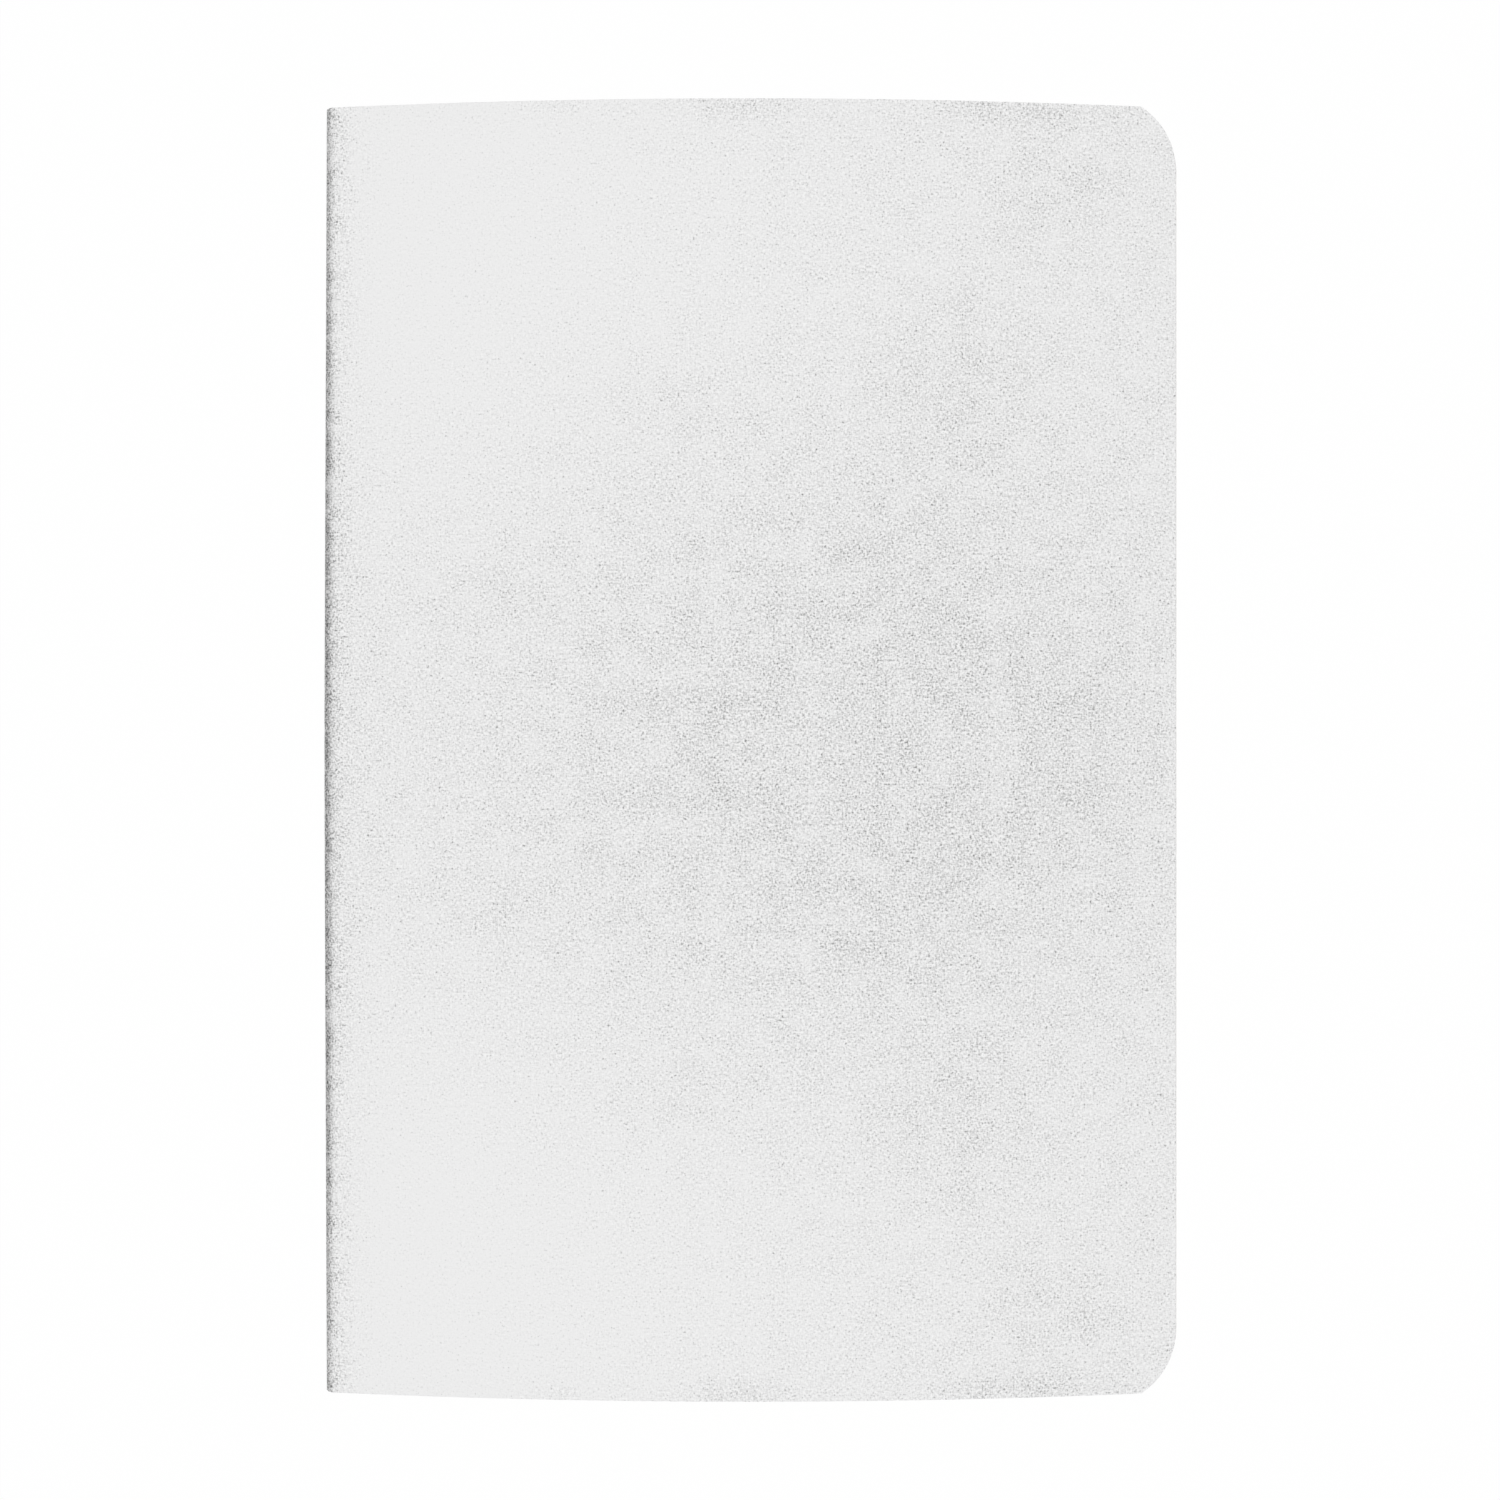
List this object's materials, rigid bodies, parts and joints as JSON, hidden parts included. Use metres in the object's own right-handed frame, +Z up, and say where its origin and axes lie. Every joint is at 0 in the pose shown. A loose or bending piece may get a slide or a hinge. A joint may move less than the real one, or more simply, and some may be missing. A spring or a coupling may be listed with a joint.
{
  "type": "paper journal",
  "caption": "Slim soft-cover journal with rounded fore-edge corners, thread-sewn at the spine; the cover and every leaf turn about the fold.",
  "frame": {"origin": "centre of the base, under the back cover, with the journal closed", "axes": "+X from the spine to the fore edge, +Y from tail to head, +Z up through the front cover"},
  "size_m": [0.14, 0.2094, 0.0092],
  "materials": {
    "cover_card": "matt pale card with a fine speckled grain",
    "paper": "uncoated",
    "thread": "twisted white thread"
  },
  "bodies": {
    "back_cover": {"cover_back": "cover_card", "cover_spine": "cover_card", "spine_thread": "thread", "fold_thread": "thread", "sheet_fold_01": "paper", "sheet_fold_02": "paper", "sheet_fold_03": "paper", "sheet_fold_04": "paper", "sheet_fold_05": "paper", "sheet_fold_06": "paper", "sheet_fold_07": "paper", "sheet_fold_08": "paper", "sheet_fold_09": "paper", "sheet_fold_10": "paper", "sheet_fold_11": "paper", "sheet_fold_12": "paper"},
    "leaf_24": {"leaf_24": "paper"},
    "leaf_23": {"leaf_23": "paper"},
    "leaf_22": {"leaf_22": "paper"},
    "leaf_21": {"leaf_21": "paper"},
    "leaf_20": {"leaf_20": "paper"},
    "leaf_19": {"leaf_19": "paper"},
    "leaf_18": {"leaf_18": "paper"},
    "leaf_17": {"leaf_17": "paper"},
    "leaf_16": {"leaf_16": "paper"},
    "leaf_15": {"leaf_15": "paper"},
    "leaf_14": {"leaf_14": "paper"},
    "leaf_13": {"leaf_13": "paper"},
    "leaf_12": {"leaf_12": "paper"},
    "leaf_11": {"leaf_11": "paper"},
    "leaf_10": {"leaf_10": "paper"},
    "leaf_09": {"leaf_09": "paper"},
    "leaf_08": {"leaf_08": "paper"},
    "leaf_07": {"leaf_07": "paper"},
    "leaf_06": {"leaf_06": "paper"},
    "leaf_05": {"leaf_05": "paper"},
    "leaf_04": {"leaf_04": "paper"},
    "leaf_03": {"leaf_03": "paper"},
    "leaf_02": {"leaf_02": "paper"},
    "leaf_01": {"leaf_01": "paper"},
    "front_cover": {"cover_front": "cover_card"}
  },
  "joints": [
    {"name": "leaf_24_turn", "type": "hinge", "parent": "back_cover", "child": "leaf_24", "pos_m": [-0.06768, 0, 0.0022], "axis": [0, -1, 0], "range_deg": [0, 180]},
    {"name": "leaf_23_turn", "type": "hinge", "parent": "leaf_24", "child": "leaf_23", "pos_m": [-0.06768, 0, 0.0022], "axis": [0, -1, 0], "range_deg": [0, 180]},
    {"name": "leaf_22_turn", "type": "hinge", "parent": "leaf_23", "child": "leaf_22", "pos_m": [-0.06768, 0, 0.0022], "axis": [0, -1, 0], "range_deg": [0, 180]},
    {"name": "leaf_21_turn", "type": "hinge", "parent": "leaf_22", "child": "leaf_21", "pos_m": [-0.06768, 0, 0.0022], "axis": [0, -1, 0], "range_deg": [0, 180]},
    {"name": "leaf_20_turn", "type": "hinge", "parent": "leaf_21", "child": "leaf_20", "pos_m": [-0.06768, 0, 0.0022], "axis": [0, -1, 0], "range_deg": [0, 180]},
    {"name": "leaf_19_turn", "type": "hinge", "parent": "leaf_20", "child": "leaf_19", "pos_m": [-0.06768, 0, 0.0022], "axis": [0, -1, 0], "range_deg": [0, 180]},
    {"name": "leaf_18_turn", "type": "hinge", "parent": "leaf_19", "child": "leaf_18", "pos_m": [-0.06768, 0, 0.0022], "axis": [0, -1, 0], "range_deg": [0, 180]},
    {"name": "leaf_17_turn", "type": "hinge", "parent": "leaf_18", "child": "leaf_17", "pos_m": [-0.06768, 0, 0.0022], "axis": [0, -1, 0], "range_deg": [0, 180]},
    {"name": "leaf_16_turn", "type": "hinge", "parent": "leaf_17", "child": "leaf_16", "pos_m": [-0.06768, 0, 0.0022], "axis": [0, -1, 0], "range_deg": [0, 180]},
    {"name": "leaf_15_turn", "type": "hinge", "parent": "leaf_16", "child": "leaf_15", "pos_m": [-0.06768, 0, 0.0022], "axis": [0, -1, 0], "range_deg": [0, 180]},
    {"name": "leaf_14_turn", "type": "hinge", "parent": "leaf_15", "child": "leaf_14", "pos_m": [-0.06768, 0, 0.0022], "axis": [0, -1, 0], "range_deg": [0, 180]},
    {"name": "leaf_13_turn", "type": "hinge", "parent": "leaf_14", "child": "leaf_13", "pos_m": [-0.06768, 0, 0.0022], "axis": [0, -1, 0], "range_deg": [0, 180]},
    {"name": "leaf_12_turn", "type": "hinge", "parent": "leaf_13", "child": "leaf_12", "pos_m": [-0.06768, 0, 0.0022], "axis": [0, -1, 0], "range_deg": [0, 180]},
    {"name": "leaf_11_turn", "type": "hinge", "parent": "leaf_12", "child": "leaf_11", "pos_m": [-0.06768, 0, 0.0022], "axis": [0, -1, 0], "range_deg": [0, 180]},
    {"name": "leaf_10_turn", "type": "hinge", "parent": "leaf_11", "child": "leaf_10", "pos_m": [-0.06768, 0, 0.0022], "axis": [0, -1, 0], "range_deg": [0, 180]},
    {"name": "leaf_09_turn", "type": "hinge", "parent": "leaf_10", "child": "leaf_09", "pos_m": [-0.06768, 0, 0.0022], "axis": [0, -1, 0], "range_deg": [0, 180]},
    {"name": "leaf_08_turn", "type": "hinge", "parent": "leaf_09", "child": "leaf_08", "pos_m": [-0.06768, 0, 0.0022], "axis": [0, -1, 0], "range_deg": [0, 180]},
    {"name": "leaf_07_turn", "type": "hinge", "parent": "leaf_08", "child": "leaf_07", "pos_m": [-0.06768, 0, 0.0022], "axis": [0, -1, 0], "range_deg": [0, 180]},
    {"name": "leaf_06_turn", "type": "hinge", "parent": "leaf_07", "child": "leaf_06", "pos_m": [-0.06768, 0, 0.0022], "axis": [0, -1, 0], "range_deg": [0, 180]},
    {"name": "leaf_05_turn", "type": "hinge", "parent": "leaf_06", "child": "leaf_05", "pos_m": [-0.06768, 0, 0.0022], "axis": [0, -1, 0], "range_deg": [0, 180]},
    {"name": "leaf_04_turn", "type": "hinge", "parent": "leaf_05", "child": "leaf_04", "pos_m": [-0.06768, 0, 0.0022], "axis": [0, -1, 0], "range_deg": [0, 180]},
    {"name": "leaf_03_turn", "type": "hinge", "parent": "leaf_04", "child": "leaf_03", "pos_m": [-0.06768, 0, 0.0022], "axis": [0, -1, 0], "range_deg": [0, 180]},
    {"name": "leaf_02_turn", "type": "hinge", "parent": "leaf_03", "child": "leaf_02", "pos_m": [-0.06768, 0, 0.0022], "axis": [0, -1, 0], "range_deg": [0, 180]},
    {"name": "leaf_01_turn", "type": "hinge", "parent": "leaf_02", "child": "leaf_01", "pos_m": [-0.06768, 0, 0.0022], "axis": [0, -1, 0], "range_deg": [0, 180]},
    {"name": "front_cover_turn", "type": "hinge", "parent": "leaf_01", "child": "front_cover", "pos_m": [-0.06768, 0, 0.0022], "axis": [0, -1, 0], "range_deg": [0, 180]}
  ]
}
